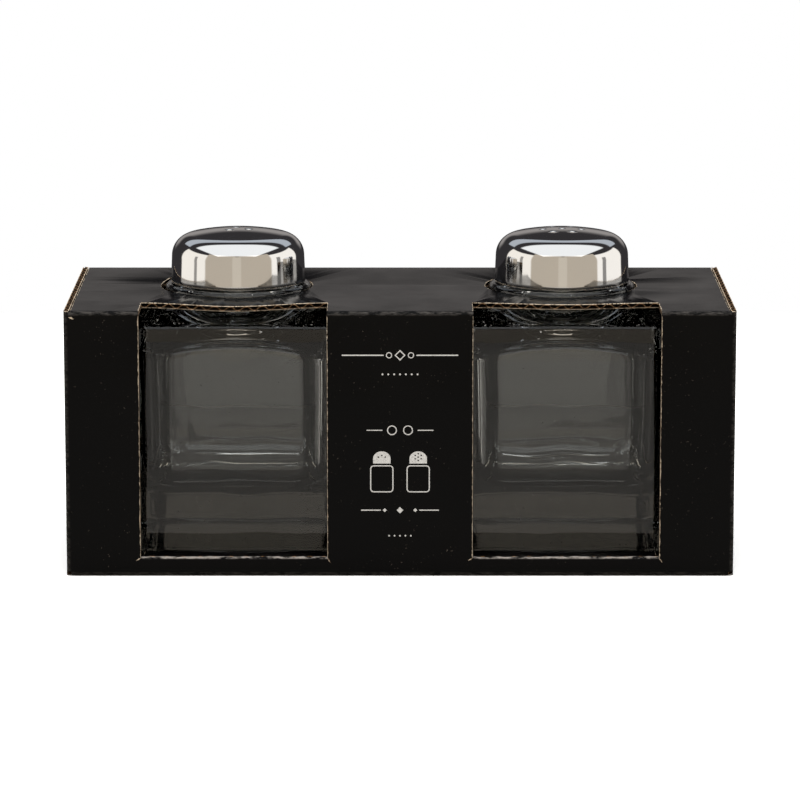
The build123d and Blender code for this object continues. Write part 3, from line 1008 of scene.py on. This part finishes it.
def cap_profile():
    """The cap's outer line as a function of the distance travelled from its top: (r, z, nr, nz)."""
    reach = CAP_RADIUS - CAP_TAPER - CAP_SHOULDER
    drop = CAP_HEIGHT - CAP_STRAIGHT
    crown = (reach**2 + drop**2 - CAP_SHOULDER**2) / (2 * (drop - CAP_SHOULDER))
    lean = atan2(reach, CAP_STRAIGHT - CAP_HEIGHT + crown)
    on_crown = crown * lean
    on_shoulder = on_crown + CAP_SHOULDER * (pi / 2 - lean)
    on_side = on_shoulder + CAP_STRAIGHT - FOOT
    total = on_side + FOOT * pi / 2
    tilt = atan2(CAP_TAPER, on_side - on_shoulder)

    def at(s):
        if s <= on_crown:
            a = s / crown
            return crown * sin(a), CAP_HEIGHT - crown + crown * cos(a), sin(a), cos(a)
        if s <= on_shoulder:
            a = lean + (s - on_crown) / CAP_SHOULDER
            return reach + CAP_SHOULDER * sin(a), CAP_STRAIGHT + CAP_SHOULDER * cos(a), sin(a), cos(a)
        if s <= on_side:
            down = s - on_shoulder
            return CAP_RADIUS - CAP_TAPER + down * tan(tilt), CAP_STRAIGHT - down, cos(tilt), sin(tilt)
        a = (s - on_side) / FOOT
        return CAP_RADIUS - FOOT + FOOT * cos(a), FOOT - FOOT * sin(a), cos(a), -sin(a)

    return at, (on_crown, on_shoulder, on_side, total)


def cap_rings(on_crown, on_shoulder, on_side, total):
    """Distances from the top's centre of the rings of points that shape the cap."""
    rings = []
    s = CAP_SPACING
    while s < on_crown:
        rings.append(s)
        s += CAP_SPACING
    rings += spread(on_crown, on_shoulder, 14)[:-1]
    return rings + spread(on_shoulder, on_side, 6) + spread(on_side, total, 4)[1:-1]


def cap_shell(side, sign):
    """The domed cover, made as one disc with its pouring holes, then wrapped over the profile."""
    at, lengths = cap_profile()
    on_side, total = lengths[2:]
    radius, places = HOLES[side]
    centres = [(r * cos(a), r * sin(a)) for r, a in places]

    def from_hole(x, y):
        return min(hypot(x - cx, y - cy) for cx, cy in centres) - radius

    holes = [circle(x, y, radius, HOLE_AROUND) for x, y in centres]
    lips = []
    for x, y in centres:
        for n, out in enumerate((LIP / 4, LIP * 0.55, LIP), 1):
            lips.append(circle(x, y, radius + out, HOLE_AROUND, pi / HOLE_AROUND * n))
    dots = [] if side == "right" else [(0, 0)]
    for n, s in enumerate(cap_rings(*lengths)):
        count = CAP_AROUND if s > 9 else max(8, round(2 * pi * s / CAP_SPACING))
        ring = circle(0, 0, s, count, pi / count * (n % 2))
        dots += [p for p in ring if from_hole(*p) > 0.7]
    flat, triangles = triangulate([circle(0, 0, total, CAP_AROUND), *holes], lips, (), dots)
    high, low = [], []
    for x, y in flat:
        s = min(hypot(x, y), total)
        r, z, nr, nz = at(s)
        roll = LIP_DEPTH * max(0.0, 1 - max(0.0, from_hole(x, y)) / LIP) ** 2
        ux, uy = (x / s, y / s) if s > 1e-9 else (0.0, 0.0)
        depth = SHELL - FOOT * max(0.0, (s - on_side) / (total - on_side))
        inner_r, inner_z = r - nr * depth, z - nz * depth
        if s > on_side:
            inner_z = max(inner_z, 0.0)
        high.append((r * ux, r * uy, z - roll))
        low.append((inner_r * ux, inner_r * uy, inner_z - roll * 0.8))
    points, faces, slots = closed_sheet(triangles, np.array(high), np.array(low))
    points = points + np.array((sign * SHAKER_X, SHAKER_Y, CAP_RIM))
    made = make_object(f"{side}_chrome_cap", points, faces, (CHROME,), crease_angle=50)
    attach(made, f"{side}_cap")
    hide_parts(f"{side}_cap_shell")


def finish_cad_node(node, material):
    """A CAD piece whose shape is right keeps its mesh and takes a better material."""
    mesh = frame["nodes"][node].data
    mesh.materials.clear()
    mesh.materials.append(material)


for side, sign in SIDES:
    jar(side, sign)
    cap_shell(side, sign)
    finish_cad_node(f"{side}_cap_insert", PLASTIC)
    finish_cad_node(f"{side}_seal_ring", SILICONE)


# ==== Decoration on the front ====
INK_DEPTH = 0.012
# Heights of the rows of the decoration, from the top row down.
HEADING_Z, HEADING_DOTS_Z, RULE_Z, ICONS_Z, FOOTER_Z, FOOTER_DOTS_Z = 61.9, 56.6, 41.0, 23.6, 18.6, 11.4


def ring_loops(x, z, outer, inner):
    return [circle(x, z, outer, 32), circle(x, z, inner, 32)]


def bar(x, z, length, height):
    """A thin rule with round ends."""
    r = height / 2
    half = length / 2 - r
    right = [(x + half + r * cos(a), z + r * sin(a)) for a in np.linspace(-pi / 2, pi / 2, 7)]
    left = [(x - half - r * cos(a), z + r * sin(a)) for a in np.linspace(-pi / 2, pi / 2, 7)[::-1]]
    return [right + left]


def diamond(x, z, size):
    return [[(x + size, z), (x, z + size), (x - size, z), (x, z - size)]]


def outline_pair(points, stroke):
    """A closed outline and the same outline drawn in by the stroke's width."""
    a = np.array(points)
    into = (np.roll(a, -1, axis=0) - a, a - np.roll(a, 1, axis=0))
    normals = [np.stack([-v[:, 1], v[:, 0]], axis=1) / np.linalg.norm(v, axis=1)[:, None] for v in into]
    mitre = normals[0] + normals[1]
    mitre *= 2 / (mitre**2).sum(axis=1)[:, None]
    return [points, [tuple(p) for p in a + mitre * stroke]]


def shaker_icon(x, z, dots):
    """A drawing of a shaker that stands at z: the outline of its body under a solid pierced cap."""
    half, corner, height = 3.2, 1.0, 7.6
    body = []
    for sx, sz, first in ((1, 0, -pi / 2), (1, 1, 0), (-1, 1, pi / 2), (-1, 0, pi)):
        centre = x + sx * (half - corner), z + (height - corner if sz else corner)
        turns = [first + pi / 2 * i / 5 for i in range(6)]
        body += [(centre[0] + corner * cos(a), centre[1] + corner * sin(a)) for a in turns]
    arch = [(x + 2.4 * cos(a), z + 9.5 + 2.0 * sin(a)) for a in np.linspace(0, pi, 21)]
    cap = [(x + 2.4, z + 8.1), *arch, (x - 2.4, z + 8.1)]
    ring = [(0.95 * cos(a), 0.95 * sin(a)) for a in np.linspace(pi / 6, 13 * pi / 6, dots)[:-1]]
    spots = [(0, 0), *ring] if dots > 3 else [(-0.95, 0), (0, 0.45), (0.95, 0)]
    pierced = [circle(x + dx, z + 9.9 + dz, 0.23, 10) for dx, dz in spots]
    return [outline_pair(body, 0.3), [cap, *pierced]]


def decorate_front():
    """White print on the strip between the windows: rules, rings, dots and two shaker drawings."""
    shapes = []
    for sign in (-1, 1):
        shapes.append(bar(sign * 10.2, HEADING_Z, 11.5, 0.34))
        shapes.append(ring_loops(sign * 3.0, HEADING_Z, 0.85, 0.6))
        shapes.append(bar(sign * 7.0, RULE_Z, 4.4, 0.26))
        shapes.append(ring_loops(sign * 2.2, RULE_Z, 1.35, 1.08))
        shapes.append(diamond(sign * 4.2, FOOTER_Z, 0.55))
        shapes.append(bar(sign * 8.0, FOOTER_Z, 5.5, 0.3))
    shapes.append(outline_pair(diamond(0, HEADING_Z, 1.5)[0], 0.3))
    shapes += [[circle(1.6 * i, HEADING_DOTS_Z, 0.26, 12)] for i in range(-3, 4)]
    shapes += shaker_icon(-5.0, ICONS_Z, 3) + shaker_icon(5.0, ICONS_Z, 7)
    shapes.append(diamond(0, FOOTER_Z, 0.9))
    shapes += [[circle(1.5 * i, FOOTER_DOTS_Z, 0.24, 12)] for i in range(-2, 3)]
    parts = []
    for loops in shapes:
        points, faces, slots = raised_on_front(*triangulate(loops), INK_DEPTH, INK_DEPTH)
        parts.append((points, faces, slots, np.zeros(len(points))))
    points, faces, slots, _ = join_parts(parts)
    made = make_object("front_decoration", points, faces, (INK,), slots)
    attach(made, "carton")


decorate_front()


# ==== Studio ====
FLOOR_RADIUS = 420
FLOOR_DROP = 0.05  # keeps the floor just below the carton's base
# The light and the camera are in metres.
FILL_PLACE = (0, -0.1, 1.5)
FILL_SIZE = 1.8
FILL_POWER = 26
CAMERA_PLACE = (0, -1.2085, 0.272)
CAMERA_PITCH = 10.774  # degrees below the horizon
CAMERA_LENS, CAMERA_SENSOR = 195.6, 36


def floor():
    """A round sheet of white paper. The camera sees white past its edge."""
    points = [(*p, 0.0) for p in circle(0, 0, FLOOR_RADIUS, 96)]
    made = make_object("floor", points, [tuple(range(len(points)))], (studio_floor(),))
    made.location.z = -FLOOR_DROP * MM


def fill_light():
    """A soft box overhead that lights surfaces but doesn't show in them."""
    data = bpy.data.lights.new("fill", "AREA")
    data.shape = "RECTANGLE"
    data.size = data.size_y = FILL_SIZE
    data.energy = FILL_POWER
    made = add_to_scene("fill", data)
    made.location = FILL_PLACE
    made.rotation_euler = (-Vector(FILL_PLACE)).to_track_quat("-Z", "Y").to_euler()
    made.visible_camera = False
    made.visible_glossy = False
    made.visible_transmission = False


# Soft boxes and cards of the studio as (colour, azimuths, elevations, softness), in degrees from the
# front towards +X and from the horizon.
CARDS = (
    ((1.02, 0.97, 0.88), (-113, -57), (-80, 30), 1.5),
    ((1.04, 1.0, 0.93), (62, 122), (-80, 29), 1.5),
    ((0.50, 0.435, 0.345), (-57, 62), (-80, 36), 1.0),
    ((0.10, 0.10, 0.09), (-8, 7), (-80, 30), 1.0),
)
# Gaps in those cards, with how much light they still let through.
STANDS = ((0.3, (-80, -74), (-80, 16)), (0.25, (73, 81), (-80, 14)), (0.35, (-3, 3), (31, 34)))
# Ceiling soft boxes as (colour, x / z, y / z).
CEILINGS = (
    ((0.99, 1.01, 1.01), (-1.05, 1.0), (-1.38, 0.31)),
    ((0.44, 0.48, 0.53), (-1.25, 1.25), (0.72, 1.5)),
)
DARK_ROOM = (0.035, 0.033, 0.035)
# A low glow behind the object, outside these azimuths.
HORIZON_GLOW = (0.32, 0.30, 0.29)
GLOW_AZIMUTHS = (-152, 152)
GLOW_ELEVATIONS = (4, 15)
CEILING_SOFT = 0.06


def world():
    """What the object reflects: a ceiling of soft boxes and a ring of cards. The camera sees white."""
    made = bpy.data.worlds.new("studio")
    made.use_nodes = True
    tree = made.node_tree
    tree.nodes.clear()
    n = Nodes(tree)
    axes = n.axes(n.add("TexCoord").outputs["Generated"])
    back = n.times(axes[1], -1.0)
    azimuth = n.times(n.math("ARCTAN2", axes[0], back), 180 / pi)
    elevation = n.times(n.math("ARCSINE", axes[2]), 180 / pi)
    above = n.math("MAXIMUM", axes[2], 0.001)
    across, along = n.math("DIVIDE", axes[0], above), n.math("DIVIDE", axes[1], above)
    behind = n.inverse(n.span(azimuth, *GLOW_AZIMUTHS, 8))
    low = n.span(elevation, *GLOW_ELEVATIONS, 4)
    light = n.mix(n.times(behind, low), DARK_ROOM, HORIZON_GLOW)
    shade = 1.0
    for dim, azimuths, elevations in STANDS:
        there = n.patch(azimuth, azimuths, elevation, elevations, 0.8, 1.5)
        shade = n.times(shade, n.inverse(n.times(there, 1 - dim)))
    for colour, azimuths, elevations, soft in CARDS:
        there = n.patch(azimuth, azimuths, elevation, elevations, soft, soft)
        light = n.plus(light, n.times(there, shade), colour)
    for colour, xs, ys in CEILINGS:
        there = n.patch(across, xs, along, ys, CEILING_SOFT, CEILING_SOFT)
        there = n.times(there, n.step(axes[2], 0.05, 0.1))
        light = n.plus(light, there, colour)
    seen = n.add("LightPath").outputs["Is Camera Ray"]
    light = n.mix(seen, light, (1.0, 1.0, 1.0))
    n.add("OutputWorld", {"Surface": n.add("Background", {"Color": light}).outputs[0]})
    bpy.context.scene.world = made


def camera():
    """At the photograph's height, distance and pitch, looking along +Y."""
    data = bpy.data.cameras.new("camera")
    data.lens = CAMERA_LENS
    data.sensor_width = CAMERA_SENSOR
    data.clip_start, data.clip_end = 0.05, 50
    made = add_to_scene("camera", data)
    made.location = CAMERA_PLACE
    made.rotation_euler = (radians(90 - CAMERA_PITCH), 0, 0)
    bpy.context.scene.camera = made


floor()
world()
camera()
fill_light()
bpy.context.scene.view_settings.view_transform = "Standard"
